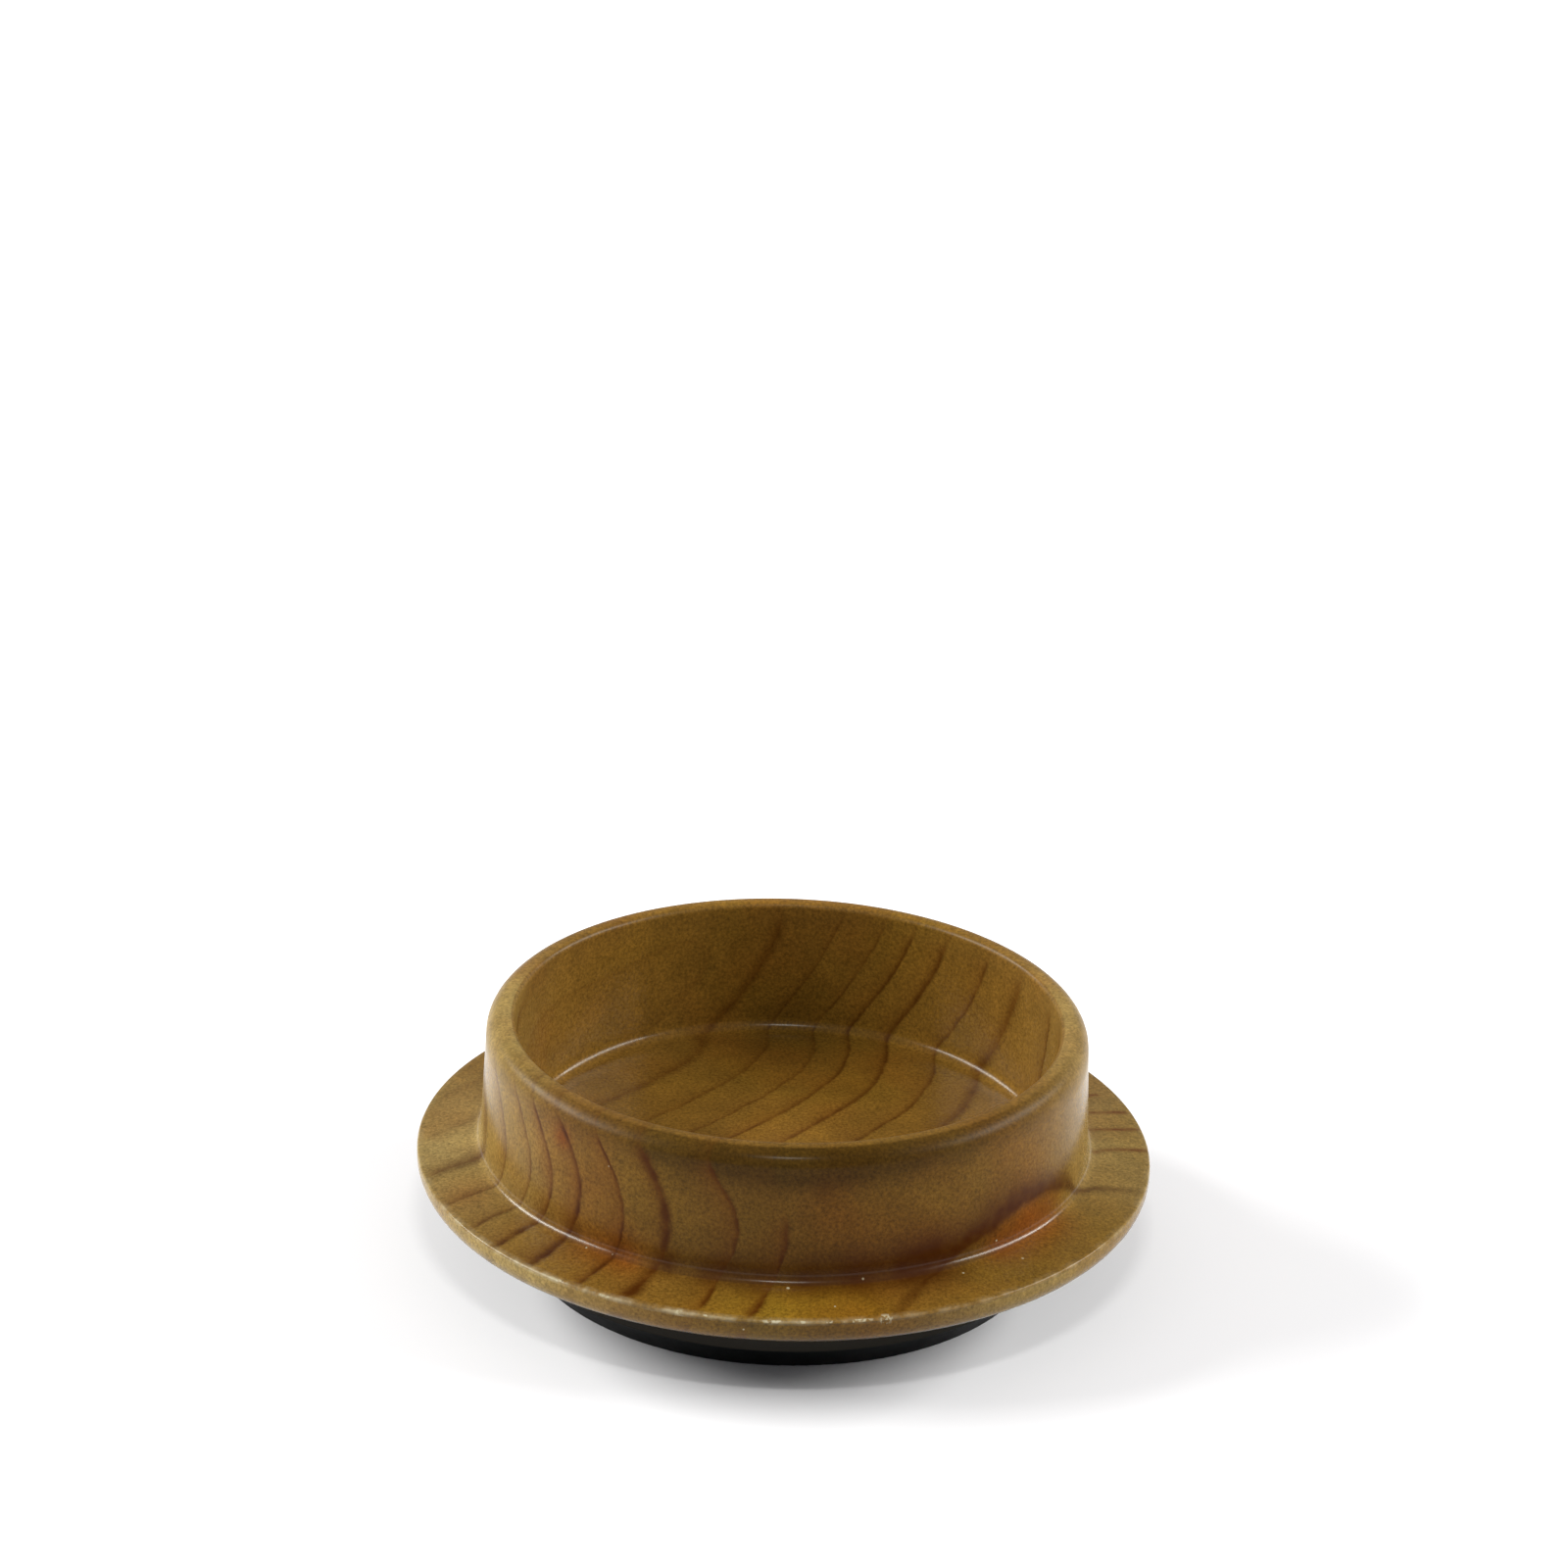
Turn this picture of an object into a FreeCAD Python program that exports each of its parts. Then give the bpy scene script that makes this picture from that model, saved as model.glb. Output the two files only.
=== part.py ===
import FreeCAD, Part
import Sketcher
import math
import os

# Castor cup: a moulded cup with a wide brim, set on a black rubber base.
# Millimetres, +Z up, origin at the centre of the rubber's underside.

doc = FreeCAD.newDocument("CastorCup")

# Driving sizes
sheet = doc.addObject("Spreadsheet::Sheet", "Sizes")
sizes = {
    # the round pocket that holds the wheel, and the ring wall around it
    "pocket_diameter": 60.0,
    "pocket_depth": 15.9,
    "pocket_draft": 1.0,
    "pocket_fillet": 1.5,
    "wall_foot": 4.0,
    "wall_rim": 3.05,
    "rim_round": 2.3,
    "rim_inner_round": 0.7,
    # the plate that is the pocket's floor and, outside the ring, the brim, which rises to the ring
    "plate_thickness": 3.4,
    "brim_width": 7.0,
    "brim_rise": 0.8,
    "brim_under_round": 2.6,
    "brim_edge_round": 0.3,
    "brim_fillet": 1.2,
    # the skirt under the plate, which takes the rubber
    "skirt_height": 5.2,
    "skirt_inset": 2.0,
    "skirt_wall": 2.7,
    "skirt_fillet": 0.8,
    # the rubber base: a sole under the skirt, narrower at the floor, and a plug inside the skirt
    "sole_height": 3.6,
    "sole_inset": 0.3,
    "sole_taper": 3.0,
    "sole_round": 0.5,
    "plug_clearance": 0.1,
    "plug_chamfer": 0.6,
}
for row, (alias, size) in enumerate(sizes.items(), start=1):
    sheet.set("A%d" % row, alias)
    sheet.set("B%d" % row, str(size))
    sheet.setAlias("B%d" % row, alias)

# Radii and heights that follow from the driving sizes
derived = {
    "pocket_radius": "=pocket_diameter / 2",
    "rim_inner_radius": "=pocket_radius + pocket_depth * tan(pocket_draft * 1deg)",
    "rim_outer_radius": "=rim_inner_radius + wall_rim",
    "ring_radius": "=pocket_radius + wall_foot",
    "brim_radius": "=ring_radius + brim_width",
    "skirt_radius": "=ring_radius - skirt_inset",
    "recess_radius": "=skirt_radius - skirt_wall",
    "plug_radius": "=recess_radius - plug_clearance",
    "sole_radius": "=skirt_radius - sole_inset",
    "foot_radius": "=sole_radius - sole_taper",
    "plate_underside": "=sole_height + skirt_height",
    "plate_top": "=plate_underside + plate_thickness",
    "brim_top": "=plate_top + brim_rise",
    "rim_top": "=plate_top + pocket_depth",
}
for row, (alias, formula) in enumerate(derived.items(), start=len(sizes) + 2):
    sheet.set("A%d" % row, alias)
    sheet.set("B%d" % row, formula)
    sheet.setAlias("B%d" % row, alias)
doc.recompute()


def value(alias):
    # A size from the sheet, with None for zero: the axis or the floor
    return float(getattr(sheet, alias)) if alias else 0.0


def turned_body(name, outline):
    # A body turned about Z from a half section: each corner is a pair of sheet names (radius, height),
    # with None for a corner on the axis or on the floor
    body = doc.addObject("PartDesign::Body", name)
    body.Label = name
    body.Placement = FreeCAD.Placement()
    plane = next(f for f in body.Origin.OriginFeatures if f.Role == "XZ_Plane")
    sketch = body.newObject("Sketcher::SketchObject", name + "_section")
    sketch.AttachmentSupport = [(plane, "")]
    sketch.MapMode = "FlatFace"

    corners = [FreeCAD.Vector(value(radius), value(height), 0) for radius, height in outline]
    count = len(corners)
    for i in range(count):
        sketch.addGeometry(Part.LineSegment(corners[i], corners[(i + 1) % count]), False)
    for i in range(count):
        sketch.addConstraint(Sketcher.Constraint("Coincident", i, 2, (i + 1) % count, 1))
    for i, (radius, height) in enumerate(outline):
        place_corner(sketch, i, "DistanceX", radius, corners[i].x)
        place_corner(sketch, i, "DistanceY", height, corners[i].y)

    turned = body.newObject("PartDesign::Revolution", name + "_turned")
    turned.Profile = sketch
    turned.ReferenceAxis = (sketch, ["V_Axis"])
    turned.Angle = 360.0
    doc.recompute()
    return body


def place_corner(sketch, line, direction, alias, start):
    # The line's first end is held at the sheet's size from the sketch origin, or on its axis
    if alias is None:
        axis = -2 if direction == "DistanceX" else -1
        sketch.addConstraint(Sketcher.Constraint("PointOnObject", line, 1, axis))
        return
    index = sketch.addConstraint(Sketcher.Constraint(direction, -1, 1, line, 1, start))
    sketch.setExpression("Constraints[%d]" % index, "Sizes." + alias)


def ring_edge(body, radius, height):
    # The name of the circular edge at this radius and height on the body's last feature
    for number, edge in enumerate(body.Tip.Shape.Edges, start=1):
        if not isinstance(edge.Curve, Part.Circle):
            continue
        if math.isclose(edge.Curve.Radius, value(radius), abs_tol=1e-4):
            if math.isclose(edge.Curve.Center.z, value(height), abs_tol=1e-4):
                return "Edge%d" % number
    raise RuntimeError("no edge at %s, %s on %s" % (radius, height, body.Label))


def dress_edge(body, kind, name, radius, height, formula):
    # Rounds ("Fillet") or bevels ("Chamfer") one circular edge to a size from the sheet
    base = body.Tip
    edge = ring_edge(body, radius, height)
    dress = body.newObject("PartDesign::" + kind, name)
    dress.Base = (base, [edge])
    dress.setExpression("Radius" if kind == "Fillet" else "Size", formula)
    doc.recompute()


def cup_shell():
    # One moulded piece: plate, ring wall, brim and skirt
    body = turned_body("cup_shell", [
        (None, "plate_underside"),
        ("recess_radius", "plate_underside"),
        ("recess_radius", "sole_height"),
        ("skirt_radius", "sole_height"),
        ("skirt_radius", "plate_underside"),
        ("brim_radius", "plate_underside"),
        ("brim_radius", "plate_top"),
        ("ring_radius", "brim_top"),
        ("rim_outer_radius", "rim_top"),
        ("rim_inner_radius", "rim_top"),
        ("pocket_radius", "plate_top"),
        (None, "plate_top"),
    ])
    # the rounds of an edge pair share its wall, so each is limited to its part of that wall
    dress_edge(body, "Fillet", "brim_fillet", "ring_radius", "brim_top", "Sizes.brim_fillet")
    dress_edge(body, "Fillet", "skirt_fillet", "skirt_radius", "plate_underside", "Sizes.skirt_fillet")
    dress_edge(body, "Fillet", "brim_under_round", "brim_radius", "plate_underside",
               "min(Sizes.brim_under_round; 0.86 * Sizes.plate_thickness)")
    dress_edge(body, "Fillet", "brim_edge_round", "brim_radius", "plate_top",
               "min(Sizes.brim_edge_round; 0.12 * Sizes.plate_thickness)")
    dress_edge(body, "Fillet", "rim_round", "rim_outer_radius", "rim_top",
               "min(Sizes.rim_round; 0.72 * Sizes.wall_rim)")
    dress_edge(body, "Fillet", "rim_inner_round", "rim_inner_radius", "rim_top",
               "min(Sizes.rim_inner_round; 0.25 * Sizes.wall_rim)")
    dress_edge(body, "Fillet", "pocket_fillet", "pocket_radius", "plate_top", "Sizes.pocket_fillet")
    return body


def rubber_base():
    # One moulded piece: the sole that stands on the floor and the plug that sits in the skirt
    body = turned_body("rubber_base", [
        (None, None),
        ("foot_radius", None),
        ("sole_radius", "sole_height"),
        ("plug_radius", "sole_height"),
        ("plug_radius", "plate_underside"),
        (None, "plate_underside"),
    ])
    dress_edge(body, "Fillet", "sole_round", "foot_radius", None,
               "min(Sizes.sole_round; 0.3 * Sizes.sole_height)")
    dress_edge(body, "Chamfer", "plug_chamfer", "plug_radius", "plate_underside",
               "min(Sizes.plug_chamfer; 0.5 * Sizes.skirt_height)")
    return body


parts = [cup_shell(), rubber_base()]
doc.recompute()

for item in doc.Objects:
    if "Invalid" in item.State or "Error" in item.State:
        raise RuntimeError("failed: %s %s" % (item.Label, item.State))
for part in parts:
    if part.Shape.isNull() or not part.Shape.isValid():
        raise RuntimeError("bad shape: " + part.Label)

os.makedirs("parts", exist_ok=True)
for part in parts:
    part.Shape.exportStep("parts/%s.step" % part.Label)
    box = part.Shape.optimalBoundingBox()
    print("%s: %.0f mm3, %.1f x %.1f x %.1f mm"
          % (part.Label, part.Shape.Volume, box.XLength, box.YLength, box.ZLength))
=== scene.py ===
import math
import bpy
import numpy as np
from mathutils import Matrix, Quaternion, Vector


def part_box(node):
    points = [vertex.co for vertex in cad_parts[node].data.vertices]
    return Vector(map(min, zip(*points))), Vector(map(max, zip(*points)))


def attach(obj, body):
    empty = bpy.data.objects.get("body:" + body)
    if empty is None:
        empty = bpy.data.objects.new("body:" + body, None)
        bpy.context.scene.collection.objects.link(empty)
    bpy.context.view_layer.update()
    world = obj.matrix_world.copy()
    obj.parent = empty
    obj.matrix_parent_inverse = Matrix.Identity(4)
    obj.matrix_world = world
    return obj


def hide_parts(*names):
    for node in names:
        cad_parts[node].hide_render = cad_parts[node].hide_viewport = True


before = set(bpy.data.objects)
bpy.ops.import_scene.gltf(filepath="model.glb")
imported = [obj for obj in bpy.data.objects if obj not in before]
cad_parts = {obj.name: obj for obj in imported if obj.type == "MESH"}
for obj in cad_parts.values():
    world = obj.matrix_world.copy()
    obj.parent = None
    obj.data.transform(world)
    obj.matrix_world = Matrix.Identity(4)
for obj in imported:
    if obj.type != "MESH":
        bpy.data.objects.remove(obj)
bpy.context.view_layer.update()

mm = 0.001
print("frame:", sorted(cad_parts))


# node helpers

class NodeBook:
    # one material's node tree, with short calls for the nodes used here
    def __init__(self, name):
        self.material = bpy.data.materials.new(name)
        self.material.use_nodes = True
        self.tree = self.material.node_tree
        self.tree.nodes.clear()
        self.shader = self.add("ShaderNodeBsdfPrincipled")
        output = self.add("ShaderNodeOutputMaterial")
        self.join(self.shader.outputs["BSDF"], output.inputs["Surface"])

    def add(self, kind, **settings):
        node = self.tree.nodes.new(kind)
        for key, value in settings.items():
            setattr(node, key, value)
        return node

    def join(self, source, target):
        self.tree.links.new(source, target)

    def feed(self, socket, value):
        # a socket takes a link or a plain number or colour
        if isinstance(value, bpy.types.NodeSocket):
            self.join(value, socket)
        else:
            socket.default_value = value

    def math(self, operation, a, b=0.0, clamp=False):
        node = self.add("ShaderNodeMath", operation=operation, use_clamp=clamp)
        self.feed(node.inputs[0], a)
        self.feed(node.inputs[1], b)
        return node.outputs[0]

    def attribute(self, name):
        return self.add("ShaderNodeAttribute", attribute_name=name).outputs["Fac"]

    def noise(self, scale, detail=2.0, roughness=0.5):
        # scale in waves per metre
        coords = self.add("ShaderNodeTexCoord").outputs["Object"]
        node = self.add("ShaderNodeTexNoise")
        self.join(coords, node.inputs["Vector"])
        node.inputs["Scale"].default_value = scale
        node.inputs["Detail"].default_value = detail
        node.inputs["Roughness"].default_value = roughness
        return node.outputs["Fac"]

    def spread(self, value, low, high, outLow=0.0, outHigh=1.0):
        node = self.add("ShaderNodeMapRange")
        self.feed(node.inputs["Value"], value)
        for key, number in zip(("From Min", "From Max", "To Min", "To Max"), (low, high, outLow, outHigh)):
            node.inputs[key].default_value = number
        return node.outputs["Result"]

    def blend(self, amount, a, b, mode="MIX"):
        node = self.add("ShaderNodeMix", data_type="RGBA", blend_type=mode)
        self.feed(node.inputs["Factor"], amount)
        self.feed(node.inputs["A"], (*a, 1.0) if isinstance(a, tuple) else a)
        self.feed(node.inputs["B"], (*b, 1.0) if isinstance(b, tuple) else b)
        return node.outputs["Result"]

    def bell(self, value, width):
        # 1 at zero, falling off over the width
        ratio = self.math("DIVIDE", value, width)
        return self.math("EXPONENT", self.math("MULTIPLY", self.math("MULTIPLY", ratio, ratio), -1.0))

    def bump(self, height, strength, distance):
        node = self.add("ShaderNodeBump")
        node.inputs["Strength"].default_value = strength
        node.inputs["Distance"].default_value = distance
        self.join(height, node.inputs["Height"])
        self.join(node.outputs["Normal"], self.shader.inputs["Normal"])

    def finish(self, **sockets):
        # the shader's own settings, such as Roughness=0.3
        for key, value in sockets.items():
            self.feed(self.shader.inputs[key.replace("_", " ")], value)
        return self.material


def srgb(red, green, blue):
    # 8-bit screen colour to the linear values that nodes use
    def linear(part):
        part /= 255
        return part / 12.92 if part <= 0.04045 else ((part + 0.055) / 1.055) ** 2.4
    return linear(red), linear(green), linear(blue)


# the cup's half section: the solid's own sizes, in millimetres

shellLow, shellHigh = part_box("cup_shell")
cup = {
    "segments": 640,
    "arcStep": 10.0,            # degrees of round per step
    "brimRadius": (shellHigh.y - shellLow.y) / 2 / mm,
    "rimTop": shellHigh.z / mm,
    "skirtFoot": shellLow.z / mm,
    "plateTop": 12.2,
    "plateUnder": 8.8,
    "brimTop": 13.0,            # where the brim meets the ring
    "pocketRadius": 30.0,
    "rimInner": 30.2775,
    "rimOuter": 33.3275,
    "ringRadius": 34.0,
    "skirtRadius": 32.0,
    "recessRadius": 29.3,
    "skirtFillet": 0.8,
    "brimUnderRound": 2.6,
    "brimEdgeRound": 0.3,
    "brimFillet": 1.2,
    "rimRound": 2.196,
    "rimInnerRound": 0.7,
    "pocketFillet": 1.5,
}


def roundedOutline(corners, arcStep):
    # corners are (radius, height, round, longest step of the run that follows); rounds become arcs
    points, steps = [], []
    last = len(corners) - 1
    for i, (radius, height, bend, step) in enumerate(corners):
        here = np.array((radius, height))
        if bend == 0 or i in (0, last):
            points.append(here)
            steps.append(step)
            continue
        back = np.array(corners[i - 1][:2]) - here
        ahead = np.array(corners[i + 1][:2]) - here
        back /= np.linalg.norm(back)
        ahead /= np.linalg.norm(ahead)
        half = math.acos(float(np.clip(back @ ahead, -1, 1))) / 2
        centre = here + (back + ahead) / np.linalg.norm(back + ahead) * bend / math.sin(half)
        start = here + back * bend / math.tan(half) - centre
        turn = math.pi - 2 * half
        if start[0] * ahead[1] - start[1] * ahead[0] < 0:
            turn = -turn
        count = max(5, math.ceil(abs(math.degrees(turn)) / arcStep))
        for k in range(count + 1):
            c, s = math.cos(turn * k / count), math.sin(turn * k / count)
            points.append(centre + np.array((c * start[0] - s * start[1], s * start[0] + c * start[1])))
            steps.append(step)
    filled = [points[0]]
    for a, b, step in zip(points, points[1:], steps):
        count = max(1, math.ceil(np.linalg.norm(b - a) / step))
        filled.extend(a + (b - a) * k / count for k in range(1, count + 1))
    return np.array(filled)


def cupOutline():
    # from the middle of the underside, round the outside, to the middle of the pocket's floor
    return roundedOutline([
        (0.0, cup["plateUnder"], 0, 4.0),
        (cup["recessRadius"], cup["plateUnder"], 0, 2.0),
        (cup["recessRadius"], cup["skirtFoot"], 0, 1.5),
        (cup["skirtRadius"], cup["skirtFoot"], 0, 1.0),
        (cup["skirtRadius"], cup["plateUnder"], cup["skirtFillet"], 1.0),
        (cup["brimRadius"], cup["plateUnder"], cup["brimUnderRound"], 0.4),
        (cup["brimRadius"], cup["plateTop"], cup["brimEdgeRound"], 0.6),
        (cup["ringRadius"], cup["brimTop"], cup["brimFillet"], 0.7),
        (cup["rimOuter"], cup["rimTop"], cup["rimRound"], 0.7),
        (cup["rimInner"], cup["rimTop"], cup["rimInnerRound"], 1.0),
        (cup["pocketRadius"], cup["plateTop"], cup["pocketFillet"], 2.5),
        (0.0, cup["plateTop"], 0, 1.0),
    ], cup["arcStep"])


# the grain: growth rings about a pith beside the cup, pulled onto the lines that show on it
# azimuth in degrees from the camera's side, right positive; heights are above the brim's edge, in mm

grain = {
    "pithHeading": 49.3,        # the pith lies level, degrees from +X
    "pithOffset": -16.4,        # mm, across the heading
    "pithHeight": 16.6,         # mm above the floor
    "pithSetback": 15.0,        # mm that the rings' middle lies further out
    "pithRise": 0.022,          # per mm, how fast the pith rises towards the back
    "pullReach": 8.0,           # mm, how far a read line bends the rings
    "pullSlack": 0.12,          # how loosely the rings follow the read lines
    "frontRing": 10,            # number of the ring that fades high on the front
    "archRing": 11,             # number of the ring that the arch takes the place of
    "rings": [
        # distance, ink, then widths in mm: the dark line, the warm shade inside it, its outer edge
        (-15.0, 0.20, 0.4, 1.5, 0.20),
        (-9.5, 0.18, 0.4, 1.5, 0.20),
        (-3.9, 0.66, 1.1, 1.2, 0.60),
        (2.3, 0.52, 0.3, 1.3, 0.15),
        (7.6, 0.58, 0.3, 1.3, 0.15),
        (11.5, 0.92, 0.38, 1.8, 0.18),
        (16.1, 1.00, 0.52, 1.8, 0.24),
        (21.9, 0.88, 0.30, 1.4, 0.16),
        (27.4, 0.92, 0.95, 1.3, 0.55),
        (34.2, 0.80, 0.28, 1.5, 0.16),
        (39.0, 0.90, 0.48, 1.3, 0.26),
        (44.5, 0.60, 0.4, 1.3, 0.20),
        (49.8, 0.0, 0.5, 1.3, 0.20),
        (60.0, 0.50, 0.35, 1.5, 0.18),
        (68.0, 0.50, 0.35, 1.5, 0.18),
    ],
}
# each line: its ring's distance, (azimuth, height) down the wall, (azimuth, radius) out over the brim
grainLines = [
    (-3.9, [(-78, 5.1), (-75.5, 4), (-75.5, 1.9)], [(-78, 35), (-76, 37.8), (-74.5, 40.2)]),
    (2.3, [(-65.5, 9), (-63, 6), (-64.5, 1.8)], [(-66.3, 35), (-66, 36.8), (-64, 40)]),
    (7.6, [(-55, 9.7), (-54.4, 6), (-55.6, 1.6)], [(-56.8, 36), (-56.4, 39.8)]),
    (11.5, [(-55, 14.2), (-50.3, 10.9), (-47.5, 6.9), (-47, 4.7), (-49, 1.4)],
     [(-50.4, 34.1), (-48.8, 39.9)]),
    (16.1, [(-47.3, 15), (-43.2, 12.2), (-40.4, 8.5), (-39.7, 5.5), (-41.2, 1.6)],
     [(-42.7, 33.5), (-41, 40)]),
    (21.9, [(-38, 14.8), (-34.4, 12), (-30.8, 8.6), (-29.6, 5.5), (-30.5, 1.7)],
     [(-32, 34.2), (-31.3, 39.6)]),
    (27.4, [(-27, 14.4), (-24, 12), (-21.5, 8), (-20.5, 5), (-21, 2.6)], [(-22.4, 33.8), (-23.4, 40.3)]),
    (34.2, [(-14, 14.3), (-10, 10.6), (-7.2, 6.4), (-8, 4.4), (-9.5, 2.6)], [(-11, 33.5), (-12.5, 41)]),
    (39.0, [(1, 7.7), (1, 4.8), (0.4, 3)], [(-1.6, 33.7), (-3.2, 40)]),
    (49.8, [(36, 2.5), (43, 4), (50, 5.2), (58, 4.8)], [(27.7, 34.5), (73.7, 34.6)]),
]
# the dark arch at the right of the front: azimuth and run, where the run is the way in over the brim and
# up the wall from the brim's edge, in mm; then the width of its soft upper side there, and its ink
arch = [
    (16.5, 0.0, 1.0, 0.1), (18.8, 1.2, 1.0, 0.5), (23.5, 4.2, 1.4, 0.7), (27.7, 6.5, 2.2, 0.95),
    (31.6, 8.3, 3.1, 1.0), (36, 9.5, 3.2, 1.0), (43, 11.0, 3.2, 1.0), (50, 12.2, 2.7, 0.96),
    (58, 11.8, 2.2, 0.88),
    (64, 10.9, 2.0, 0.8), (68.5, 9.4, 1.2, 0.75), (71.5, 7.8, 0.6, 0.7), (74.2, 6.4, 0.5, 0.6),
    (76.5, 3.4, 0.5, 0.48), (78.8, 0.0, 0.5, 0.08),
]
# short dark strokes out over the right of the brim, as azimuth and run, with their widths in mm
strokes = [
    (0.34, [(88.8, 7.2), (89.5, 6.4), (91.3, 3.6), (92.2, 0.4)]),
    (0.30, [(98.0, 7.0), (98.3, 6.2), (99.5, 0.4)]),
    (0.34, [(105.0, 7.0), (105.3, 5.1), (105.6, 1.0)]),
    (0.26, [(111.6, 6.6), (112.5, 2.4)]),
]
# soft drifts of colour: azimuth, radius and height above the brim's edge, reach in mm, strength
drifts = {
    "gold": [(4, 38, 0, 6, 1.0), (-8, 39, 0, 5, 0.5), (12, 38, 0, 4, 0.7), (-66, 34, 9, 7, 0.6),
             (60, 38, 0, 8, 0.3)],
    "warm": [(50, 34, 2.2, 3.5, 0.7), (58, 34, 2.0, 3.5, 0.7), (43, 34, 1.2, 2.5, 0.7),
             (-29, 34, 1.0, 3, 0.8),
             (-36, 34, 1.0, 2.5, 0.4), (-45, 33.7, 12, 1.2, 0.8), (16, 34, 6, 6, 0.35), (-66, 38, 0, 3, 0.3),
             (28, 34, 3, 4, 0.4)],
    # darker along the wall's foot: partly the grain's dark tail from the arch, partly painted shade in the
    # crease with the brim; with one dark spot under the rim at the front
    "footShadeAndGrain": [(24, 34, 1.9, 3.3, 0.95), (14, 34, 1.5, 3.1, 0.9), (5, 34, 1.3, 2.9, 0.8),
              (-4, 34, 1.3, 2.7, 0.72),
              (-13, 34, 1.3, 2.4, 0.6), (-20.6, 34, 1.7, 1.7, 0.85), (31, 34, 2.8, 3.2, 0.75),
              (38, 34, 4.2, 2.6, 0.5),
              (64, 34, 5.6, 2.2, 0.35), (8, 33.8, 11.5, 1.4, 0.3), (-41, 34, 1.9, 1.2, 0.7),
              (-49, 34, 1.7, 1.1, 0.5), (-30.5, 34, 1.8, 1.0, 0.5), (-9, 34, 2.2, 1.6, 0.4)],
}


def onCup(azimuth, radius, height):
    turn = math.radians(azimuth)
    return radius * math.sin(turn), -radius * math.cos(turn), cup["plateTop"] + height


def azimuths(points):
    return np.degrees(np.arctan2(points[:, 0], -points[:, 1]))


def pithDistance(points):
    # signed distance from the pith, which rises out of the cup towards the back
    heading = math.radians(grain["pithHeading"])
    along = points[:, 0] * math.cos(heading) + points[:, 1] * math.sin(heading)
    across = points[:, 0] * math.sin(heading) - points[:, 1] * math.cos(heading) - grain["pithOffset"]
    lift = points[:, 2] - grain["pithHeight"] - grain["pithRise"] * np.clip(along, 0, None) ** 2
    return np.hypot(across + grain["pithSetback"], lift) - grain["pithSetback"]


def ringFields(points):
    # the pith distance, corrected so that each read line lies on its own ring, then per-ring values
    places, wanted = [], []
    for ring, wall, brim in grainLines:
        lean = (cup["ringRadius"] - cup["rimOuter"]) / (cup["rimTop"] - cup["brimTop"])
        slope = (cup["brimTop"] - cup["plateTop"]) / (cup["brimRadius"] - cup["ringRadius"])
        places += [onCup(azimuth, cup["ringRadius"] - lean * height, height) for azimuth, height in wall]
        places += [onCup(azimuth, radius, slope * (cup["brimRadius"] - radius)) for azimuth, radius in brim]
        wanted += [ring] * (len(wall) + len(brim))
    places = np.array(places)
    reach = grain["pullReach"]
    pull = np.exp(-(np.linalg.norm(places[:, None] - places[None], axis=2) / reach) ** 2)
    slack = grain["pullSlack"] * np.eye(len(places))
    weights = np.linalg.solve(pull + slack, np.array(wanted) - pithDistance(places))
    distance = pithDistance(points)
    for place, weight in zip(places, weights):
        distance += weight * np.exp(-(np.linalg.norm(points - place, axis=1) / reach) ** 2)
    radii, ink, width, soft, outer = (np.array(column) for column in zip(*grain["rings"]))
    counts = np.arange(len(radii))
    number = np.interp(distance, radii, counts)
    gap = np.diff(radii)[np.clip(np.floor(number).astype(int), 0, len(radii) - 2)]
    shade = np.interp(number, counts, ink)
    # lines that fade: one behind the arch, one high on the front, all of them over the rim and inside
    azimuth = azimuths(points)
    height = points[:, 2] - cup["plateTop"]
    outside = np.hypot(points[:, 0], points[:, 1]) > cup["rimInner"] + 0.2
    behindArch = np.clip(1 - np.abs(number - grain["archRing"]) / 0.8, 0, 1)
    behindArch *= np.clip((azimuth + 12) / 6, 0, 1)
    shade *= 1 - outside * behindArch * np.clip((84 - azimuth) / 4, 0, 1)
    front = np.clip(1 - np.abs(number - grain["frontRing"]) / 0.7, 0, 1)
    front *= np.clip(1 - np.abs(azimuth) / 30, 0, 1)
    shade *= 1 - front * np.clip((height - 6.5) / 2.5, 0, 1)
    shade *= 1 - 0.75 * np.clip((height - 13.2) / 1.2, 0, 1)
    rightSide = np.clip((azimuth - 60) / 12, 0, 1) * np.clip((158 - azimuth) / 48, 0, 1)
    shade *= np.where(outside, 1 - rightSide, 0.7)
    # over the brim the lines are wider and paler, and end short of its edge
    radius = np.hypot(points[:, 0], points[:, 1])
    onBrim = (height < 0.85) & (radius > cup["ringRadius"] + 0.4)
    shade[onBrim] *= np.clip((cup["brimRadius"] + 0.2 - radius[onBrim]) / 1.5, 0.12, 1)
    broad = np.where(onBrim, 1.45, 1.0)
    return {"ringNumber": number, "ringGap": gap, "ringInk": shade,
            "ringSoft": np.interp(number, counts, soft),
            "ringWidth": broad * np.interp(number, counts, width),
            "ringOuter": broad * np.interp(number, counts, outer)}


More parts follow.
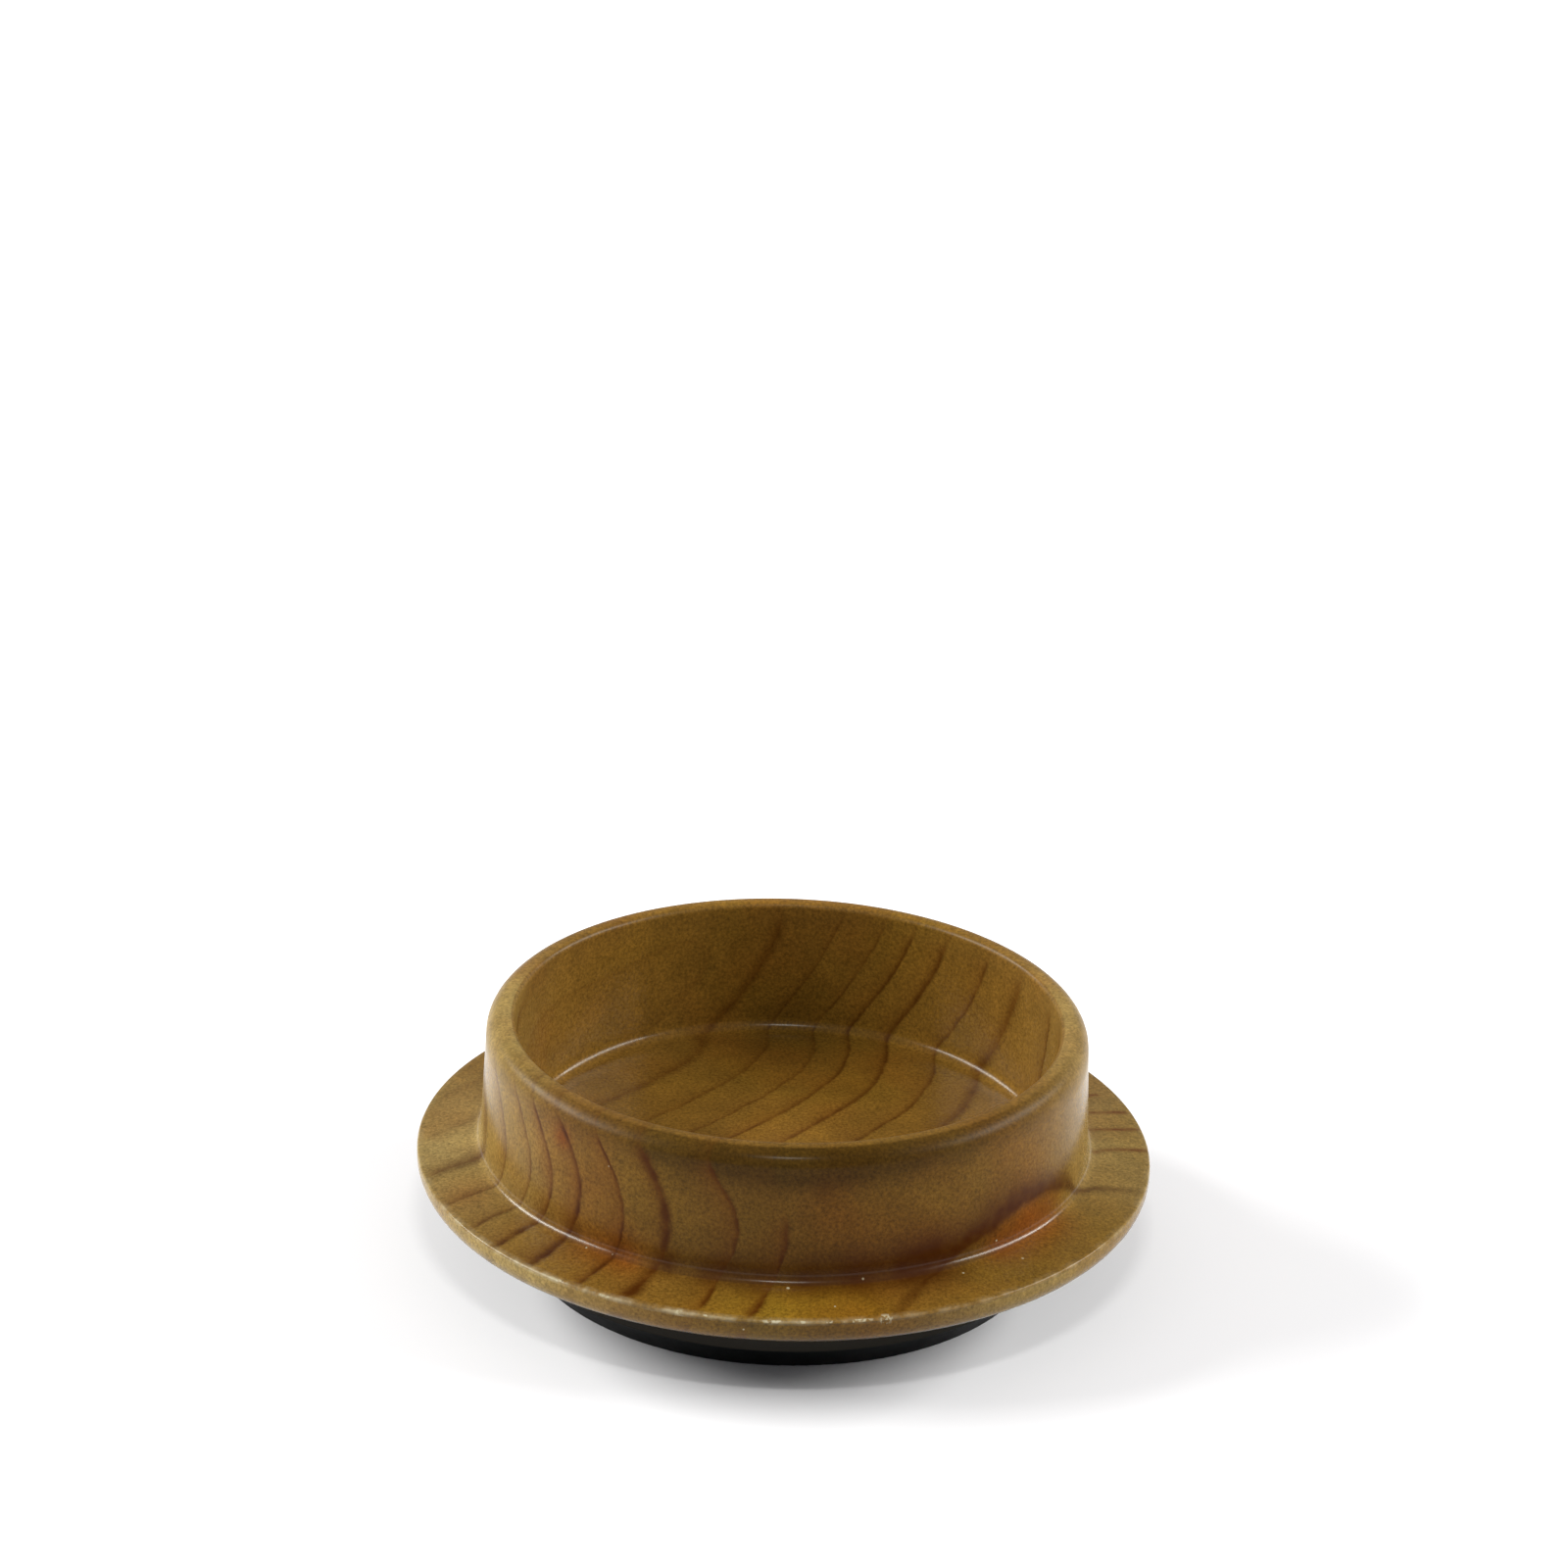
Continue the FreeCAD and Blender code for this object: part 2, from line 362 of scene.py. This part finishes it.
def archFields(points):
    # distance from the arch, positive above it, and the width of its soft side, on the outer skin only;
    # and nearness to the strokes, 0 to 1
    azimuth = azimuths(points)
    radius = np.hypot(points[:, 0], points[:, 1])
    height = points[:, 2] - cup["plateTop"]
    climb = np.where(radius < cup["ringRadius"] + 1.2, height, 0)
    run = cup["brimRadius"] - np.maximum(radius, cup["ringRadius"]) + climb
    perDegree = math.radians(1) * cup["ringRadius"]
    marks = np.zeros(len(points))
    spot = np.flatnonzero((azimuth > 80) & (azimuth < 120) & (radius > cup["rimOuter"]) & (height > -2))
    for width, stroke in strokes:
        turns, runs = (np.array(column) for column in zip(*stroke))
        steps = np.linspace(0, len(turns) - 1, 40)
        places = np.arange(len(turns))
        line = np.stack([np.interp(steps, places, turns) * perDegree, np.interp(steps, places, runs)], axis=1)
        flat = np.stack([azimuth[spot] * perDegree, run[spot]], axis=1)
        gaps = np.linalg.norm(flat[:, None] - line[None], axis=2).min(axis=1)
        marks[spot] = np.maximum(marks[spot], np.exp(-(gaps / width) ** 2))
    turns, runs, softs, inks = (np.array(column) for column in zip(*arch))
    fine = np.linspace(turns[0], turns[-1], 240)
    line = np.stack([fine * perDegree, np.interp(fine, turns, runs)], axis=1)
    for _ in range(6):
        line[1:-1] = (line[:-2] + 2 * line[1:-1] + line[2:]) / 4
    away = np.full(len(points), 30.0)
    near = (azimuth > 0) & (azimuth < 100) & (radius > cup["rimOuter"] - 0.2) & (height > -0.5)
    flat = np.stack([azimuth[near] * perDegree, run[near]], axis=1)
    gaps = np.linalg.norm(flat[:, None] - line[None], axis=2).min(axis=1)
    under = (flat[:, 1] < np.interp(flat[:, 0], line[:, 0], line[:, 1], left=-9, right=-9))
    away[near] = np.where(under, -gaps, gaps)
    return {"archAway": away, "archSoft": np.interp(azimuth, turns, softs),
            "archInk": np.interp(azimuth, turns, inks), "strokeMark": marks}


def toneFields(points):
    # painted light and shade: paler on the left and right flanks and on the brim's side there, which face the
    # side lamps; darker on the front of the wall and on the brim's side
    azimuth = azimuths(points)
    radius = np.hypot(points[:, 0], points[:, 1])
    height = points[:, 2] - cup["plateTop"]
    pale = np.exp(-((azimuth + 84) / 26) ** 2) + 0.75 * np.exp(-((azimuth - 92) / 24) ** 2)
    front = np.clip(np.cos(np.radians(azimuth - 8)), 0, 1) ** 2
    wall = (radius > cup["rimOuter"] - 1.6) & (radius < cup["ringRadius"] + 0.9) & (height > 0.8)
    side = (radius > cup["brimRadius"] - 2.6) & (height < -0.25)
    # painted light on the brim's side where it faces the side lamps
    pale += np.where(side, np.exp(-((azimuth + 46) / 20) ** 2) + 0.9 * np.exp(-((azimuth - 44) / 17) ** 2), 0)
    pale *= np.where(radius < cup["rimInner"] + 0.4, 0.35 * (radius / cup["rimInner"]) ** 3, 1)
    # painted shade: the front of the wall and the front of the brim's side are darkened
    dim = np.where(wall, 0.56 * front, 0) + np.where(side, 0.66 * front ** 3, 0)
    # painted shadow in a band under the rim at the front, and painted shade on the rim, strongest at the
    # front
    belt = np.exp(-((azimuth - 3) / 32) ** 2) * np.exp(-((height - 13.0) / 1.7) ** 2)
    rim = np.clip((height - 12.6) / 1.6, 0, 1) * np.clip(np.cos(np.radians(azimuth)), 0, 1)
    dim += np.where(wall, 0.45 * belt, 0) + 0.40 * rim
    # painted shade on the top of the brim, strongest at the front
    brim = (height < 0.9) & (height > -0.3) & (radius > cup["ringRadius"] + 0.3)
    dim += np.where(brim, 0.16 * np.exp(-((azimuth - 2) / 38) ** 2), 0)
    soft = np.clip((height - 12.4) / 1.2, 0, 1) * np.clip((np.abs(azimuth) - 12) / 10, 0, 1)
    # the coat shines most in the fillet and least on the front of the wall
    beyondRing = radius - cup["ringRadius"]
    fillet = (beyondRing > -0.2) & (beyondRing < 1.5) & (height > 0.5) & (height < 2.2)
    sheen = np.where(fillet, 1.35, np.where(wall, 1 - 0.6 * np.sqrt(front), 1.0))
    return {"paintedFlankLight": np.clip(pale, 0, 1), "paintedShade": np.clip(dim, 0, 1),
            "rimSoft": soft, "coatSheen": sheen}


def driftField(points, spots):
    total = np.zeros(len(points))
    for azimuth, radius, height, reach, strength in spots:
        away = np.linalg.norm(points - np.array(onCup(azimuth, radius, height)), axis=1)
        total += strength * np.exp(-(away / reach) ** 2)
    return np.clip(total, 0, 1)


# wear on the brim's sharp top edge: azimuth in degrees, length, height and depth in mm

chips = [
    {"azimuth": -35.0, "length": 1.2, "height": 0.18, "depth": 0.05},
    {"azimuth": -26.8, "length": 1.4, "height": 0.18, "depth": 0.05},
    {"azimuth": -14.6, "length": 1.6, "height": 0.24, "depth": 0.08},
    {"azimuth": -10.4, "length": 1.4, "height": 0.18, "depth": 0.05},
    {"azimuth": -0.6, "length": 2.2, "height": 0.20, "depth": 0.06},
    {"azimuth": 3.5, "length": 1.0, "height": 0.18, "depth": 0.05},
    {"azimuth": 7.5, "length": 0.8, "height": 0.16, "depth": 0.05},
    {"azimuth": 12.0, "length": 3.0, "height": 0.18, "depth": 0.06},
    {"azimuth": 16.2, "length": 1.2, "height": 0.50, "depth": 0.20},
]
# pale specks: azimuth, radius, height above the brim's edge, size in mm
specks = [
    (1.6, 34.9, 0.7, 0.22), (15.1, 34.3, 1.2, 0.20), (-31.5, 34.4, 1.1, 0.16), (-37.0, 34.6, 0.9, 0.16),
    (45.2, 36.8, 0.48, 0.18), (33.3, 35.8, 0.6, 0.16), (-33.6, 33.7, 10.9, 0.20), (43.2, 34.0, 1.9, 0.16),
    (9.0, 38.3, 0.3, 0.14), (-5.0, 41.0, -1.2, 0.14),
]


def edgeDamage(points):
    # returns how far each point is chipped inward, in mm, how bare it is, and how worn it is with a painted
    # highlight along the edge, 0 to 1
    radius = np.hypot(points[:, 0], points[:, 1])
    azimuth = azimuths(points)
    edge = np.hypot(radius - cup["brimRadius"] + 0.08, points[:, 2] - cup["plateTop"] + 0.08)
    cut = np.zeros(len(points))
    bare = np.zeros(len(points))
    for chip in chips:
        arc = np.radians(azimuth - chip["azimuth"]) * cup["brimRadius"]
        ends = np.clip(1.3 - np.abs(arc) / (chip["length"] / 2), 0, 1)
        near = np.clip(1.2 - edge / chip["height"], 0, 1)
        cut = np.maximum(cut, chip["depth"] * np.sqrt(ends * near))
        bare = np.maximum(bare, np.clip(2 * ends * near, 0, 1))
    # thin pale wear all along the edge with a painted highlight on its round, most on the left half of the
    # front
    along = 0.3 + 0.7 * np.exp(-((azimuth + 32) / 30) ** 2)
    return cut, bare, np.clip(1.15 - edge / 0.32, 0, 1) * along


def turnedMesh(name, outline, segments):
    # turns a half section that starts and ends on the axis into a closed mesh
    inner = outline[1:-1]
    rows = len(inner)
    turns = np.arange(segments) * 2 * math.pi / segments
    ring = np.stack([np.sin(turns), -np.cos(turns)], axis=1)
    points = np.empty((segments, rows, 3))
    points[:, :, :2] = ring[:, None] * inner[None, :, :1]
    points[:, :, 2] = inner[None, :, 1]
    points = points.reshape(-1, 3)
    first, final = len(points), len(points) + 1
    points = np.vstack([points, (0, 0, outline[0][1]), (0, 0, outline[-1][1])])
    faces = []
    for i in range(segments):
        a, b = i * rows, (i + 1) % segments * rows
        faces.append((first, b, a))
        faces.extend((a + j, b + j, b + j + 1, a + j + 1) for j in range(rows - 1))
        faces.append((final, a + rows - 1, b + rows - 1))
    mesh = bpy.data.meshes.new(name)
    return mesh, points, faces


def storeAttribute(mesh, name, values):
    layer = mesh.attributes.new(name, "FLOAT", "POINT")
    layer.data.foreach_set("value", np.asarray(values, dtype=np.float32))


def buildCup():
    mesh, points, faces = turnedMesh("cup_shell_looks", cupOutline(), cup["segments"])
    fields = ringFields(points)
    fields.update(archFields(points))
    fields.update(toneFields(points))
    for name in ("gold", "warm", "footShadeAndGrain"):
        fields[name + "Drift"] = driftField(points, drifts[name])
    # painted shade: everything under the brim, the skirt and the underside, takes the dark under colour
    fields["underBrimShade"] = np.clip((cup["plateUnder"] + 0.9 - points[:, 2]) / 0.8, 0, 1)
    cut, fields["chipBare"], fields["edgeWearAndGlint"] = edgeDamage(points)
    radius = np.maximum(np.hypot(points[:, 0], points[:, 1]), 1e-6)
    shrink = 1 - 0.7 * cut / radius
    points[:, 0] *= shrink
    points[:, 1] *= shrink
    points[:, 2] -= 0.5 * cut
    mesh.from_pydata((points * mm).tolist(), [], faces)
    mesh.polygons.foreach_set("use_smooth", [True] * len(mesh.polygons))
    mesh.set_sharp_from_angle(angle=math.radians(40))
    for name, values in fields.items():
        storeAttribute(mesh, name, values)
    mesh.update()
    piece = bpy.data.objects.new("cup_shell_looks", mesh)
    bpy.context.scene.collection.objects.link(piece)
    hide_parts("cup_shell")
    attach(piece, "root")
    return piece


# materials

woodLook = {
    "early": srgb(114, 82, 31),
    # the paler colour of the painted light on the flanks
    "pale": srgb(149, 128, 78),
    "golden": srgb(118, 89, 24),
    "warm": srgb(119, 65, 19),
    "ember": srgb(92, 47, 10),
    "late": srgb(60, 27, 3),
    # the colour of the painted shade under the brim
    "under": srgb(28, 23, 12),
    "chip": srgb(176, 166, 138),
}
coatShine = 0.14                # specular level of the clear coat
shadeInk = 0.62                 # how strong the warm shade inside a line is


def woodFinish():
    book = NodeBook("wood_look_gloss")
    gap = book.attribute("ringGap")
    ink = book.attribute("ringInk")
    # the lines waver a little, by distances in mm
    sway = book.math("ADD", book.spread(book.noise(150, 2.0), 0, 1, -0.45, 0.45),
                     book.spread(book.noise(1100, 2.0), 0, 1, -0.14, 0.14))
    place = book.math("FRACT", book.math("ADD", book.attribute("ringNumber"), book.math("DIVIDE", sway, gap)))
    within = book.math("MULTIPLY", book.math("SUBTRACT", 1.0, place), gap)
    beyond = book.math("MULTIPLY", place, gap)
    # each ring warms outward to a dark line with a sharp outer edge
    line = book.math("MAXIMUM", book.bell(within, book.attribute("ringWidth")),
                     book.bell(beyond, book.attribute("ringOuter")))
    depth = book.math("DIVIDE", within, book.attribute("ringSoft"))
    soft = book.math("EXPONENT", book.math("MULTIPLY", depth, -1.0))
    broken = book.spread(book.noise(420, 3.0), 0.34, 0.6, 0.45, 1.0)
    inked = book.math("MULTIPLY", book.math("MULTIPLY", line, ink), broken)
    shaded = book.math("MULTIPLY", book.math("MULTIPLY", soft, ink), shadeInk)
    # the arch: soft above, sharper below, mottled
    sag = book.math("ADD", book.attribute("archAway"),
                    book.spread(book.noise(300, 4.0, 0.6), 0, 1, -0.55, 0.55))
    above = book.bell(book.math("MAXIMUM", sag, 0.0), book.attribute("archSoft"))
    below = book.bell(book.math("MINIMUM", sag, 0.0), 0.7)
    swept = book.math("MULTIPLY", book.math("MULTIPLY", above, below), book.attribute("archInk"))
    swept = book.math("MULTIPLY", swept, book.spread(book.noise(700, 4.0, 0.65), 0.3, 0.65, 0.8, 1.1))
    stroked = book.math("MULTIPLY", book.attribute("strokeMark"), broken)
    darkness = book.math("MAXIMUM", inked, swept, clamp=True)
    # ground colour with its drifts, faint streaks and fine pores
    gold = book.math("ADD", book.attribute("goldDrift"),
                     book.spread(book.noise(45, 2.0), 0.45, 0.75, 0.0, 0.5), clamp=True)
    warm = book.math("ADD", book.attribute("warmDrift"),
                     book.spread(book.noise(70, 3.0), 0.5, 0.8, 0.0, 0.35), clamp=True)
    # painted light: towards the paler colour on the flanks that face the side lamps
    pale = book.math("MULTIPLY", book.attribute("paintedFlankLight"),
                     book.spread(book.noise(60, 2.0), 0.35, 0.65, 0.6, 1.0))
    ground = book.blend(pale, woodLook["early"], woodLook["pale"])
    ground = book.blend(gold, ground, woodLook["golden"])
    ground = book.blend(warm, ground, woodLook["warm"])
    # painted shade: the ground darkens down to 0.3 where the shade field is full
    dim = book.spread(book.attribute("paintedShade"), 0.0, 1.0, 1.0, 0.3)
    mottle = book.spread(book.noise(260, 4.0, 0.6), 0.3, 0.7, 0.86, 1.12)
    pores = book.spread(book.noise(2800, 3.0, 0.75), 0.3, 0.7, 0.58, 1.42)
    tone = book.math("MULTIPLY", book.math("MULTIPLY", dim, mottle), pores)
    ground = book.blend(1.0, ground, tone, "MULTIPLY")
    colour = book.blend(book.math("MAXIMUM", shaded, stroked, clamp=True), ground, woodLook["ember"])
    # darker along the wall's foot: partly grain, partly painted shade
    footShadeAndGrain = book.math("MULTIPLY", book.attribute("footShadeAndGrainDrift"),
                      book.spread(book.noise(500, 4.0, 0.6), 0.3, 0.7, 0.85, 1.05))
    colour = book.blend(book.math("MAXIMUM", darkness, footShadeAndGrain, clamp=True), colour, woodLook["late"])
    # painted shade under the brim
    colour = book.blend(book.attribute("underBrimShade"), colour, woodLook["under"])
    # pale bare spots along the brim's edge, a painted highlight along it, and specks
    speckle = book.spread(book.noise(1900, 3.0), 0.46, 0.56)
    wearAndGlint = book.math("MULTIPLY", book.attribute("edgeWearAndGlint"),
                     book.spread(book.noise(520, 3.0), 0.42, 0.66, 0.15, 0.9))
    bare = book.math("MAXIMUM", book.math("MULTIPLY", book.attribute("chipBare"), speckle), wearAndGlint, clamp=True)
    coords = book.add("ShaderNodeTexCoord").outputs["Object"]
    for azimuth, radius, height, size in specks:
        away = book.add("ShaderNodeVectorMath", operation="DISTANCE")
        book.join(coords, away.inputs[0])
        away.inputs[1].default_value = [part * mm for part in onCup(azimuth, radius, height)]
        fleck = book.spread(away.outputs["Value"], size * mm, 0.5 * size * mm, 0.0, 0.8)
        bare = book.math("MAXIMUM", bare, fleck)
    # the chip colour also paints the highlight along the edge
    colour = book.blend(bare, colour, woodLook["chip"])
    gloss = book.spread(book.noise(300, 2.0), 0.3, 0.7, 0.19, 0.25)
    gloss = book.math("ADD", gloss, book.spread(book.attribute("rimSoft"), 0, 1, 0.0, 0.17))
    peel = book.math("ADD", book.math("MULTIPLY", book.noise(700, 2.0), 0.6),
                     book.math("MULTIPLY", darkness, -0.5))
    book.bump(peel, 0.10, 0.0002)
    return book.finish(Base_Color=colour, Roughness=gloss,
                       Specular_IOR_Level=book.math("MULTIPLY", book.attribute("coatSheen"), coatShine))


def rubberFinish():
    book = NodeBook("black_rubber_satin")
    dust = book.spread(book.noise(800, 4.0), 0.45, 0.8)
    colour = book.blend(dust, srgb(7, 9, 9), srgb(13, 15, 14))
    gloss = book.spread(book.noise(240, 3.0), 0.3, 0.7, 0.5, 0.62)
    book.bump(book.noise(2600, 2.0), 0.15, 0.0001)
    return book.finish(Base_Color=colour, Roughness=gloss, Specular_IOR_Level=0.06)


def floorFinish():
    book = NodeBook("studio_floor")
    tone = book.blend(book.noise(6, 2.0), srgb(243, 242, 248), srgb(240, 239, 245))
    return book.finish(Base_Color=tone, Roughness=0.9, Specular_IOR_Level=0.1)


# the scene around it

studio = {
    "floorSize": 30.0,
    "world": 0.28,
    "lampTint": (0.995, 1.0, 0.94),
    "softboxes": [
        # azimuth and elevation in degrees, distance, width and height in metres, watts
        {"name": "left_softbox", "azimuth": -97, "elevation": 31, "distance": 1.2,
         "size": (1.0, 0.2), "power": 21.0},
        {"name": "right_softbox", "azimuth": 95, "elevation": 31, "distance": 1.2,
         "size": (1.0, 0.2), "power": 17.0},
        {"name": "front_lamp", "azimuth": 1, "elevation": 53, "distance": 0.8,
         "size": (0.13, 0.03), "power": 1.2},
    ],
}


def buildStudio():
    scene = bpy.context.scene
    half = studio["floorSize"] / 2
    mesh = bpy.data.meshes.new("studio_floor")
    corners = [(-half, -half, 0), (half, -half, 0), (half, half, 0), (-half, half, 0)]
    mesh.from_pydata(corners, [], [(0, 1, 2, 3)])
    floor = bpy.data.objects.new("studio_floor", mesh)
    scene.collection.objects.link(floor)
    mesh.materials.append(floorFinish())
    world = bpy.data.worlds.new("studio_world")
    world.use_nodes = True
    world.node_tree.nodes["Background"].inputs["Color"].default_value = (1, 1, 1, 1)
    world.node_tree.nodes["Background"].inputs["Strength"].default_value = studio["world"]
    scene.world = world
    middle = Vector((0, 0, 0.015))
    for box in studio["softboxes"]:
        lamp = bpy.data.lights.new(box["name"], "AREA")
        lamp.shape = "RECTANGLE"
        lamp.size, lamp.size_y = box["size"]
        lamp.energy = box["power"]
        lamp.color = studio["lampTint"]
        holder = bpy.data.objects.new(box["name"], lamp)
        scene.collection.objects.link(holder)
        turn, rise = math.radians(box["azimuth"]), math.radians(box["elevation"])
        out = Vector((math.sin(turn) * math.cos(rise), -math.cos(turn) * math.cos(rise), math.sin(rise)))
        holder.location = middle + out * box["distance"]
        holder.rotation_mode = "QUATERNION"
        holder.rotation_quaternion = (-out).to_track_quat("-Z", "Y")


view = {
    "elevation": 26.94,         # degrees above the brim's plane
    "distance": 0.615,          # m from the brim's middle
    "aim": (-0.00133, 0.0, 0.05611),
    "roll": 1.915,              # degrees
    "lens": 125.78,             # mm on a 36 mm sensor
}


def buildCamera():
    rise = math.radians(view["elevation"])
    data = bpy.data.cameras.new("photo_camera")
    data.sensor_width = 36.0
    data.lens = view["lens"]
    data.clip_start, data.clip_end = 0.01, 20.0
    camera = bpy.data.objects.new("photo_camera", data)
    bpy.context.scene.collection.objects.link(camera)
    brimMiddle = Vector((0, 0, cup["plateTop"] * mm))
    camera.location = brimMiddle + Vector((0, -math.cos(rise), math.sin(rise))) * view["distance"]
    look = Vector(view["aim"]) - camera.location
    camera.rotation_mode = "QUATERNION"
    roll = Quaternion((0, 0, 1), math.radians(view["roll"]))
    camera.rotation_quaternion = look.to_track_quat("-Z", "Y") @ roll
    bpy.context.scene.camera = camera


def dress(piece, material):
    piece.data.materials.clear()
    piece.data.materials.append(material)


cupPiece = buildCup()
dress(cupPiece, woodFinish())
print("cup:", len(cupPiece.data.polygons), "faces")
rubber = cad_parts["rubber_base"]
for slot in rubber.material_slots:
    slot.material = rubberFinish()
print("rubber base dressed")
buildStudio()
buildCamera()
bpy.context.scene.view_settings.view_transform = "Standard"
print("studio and camera set")
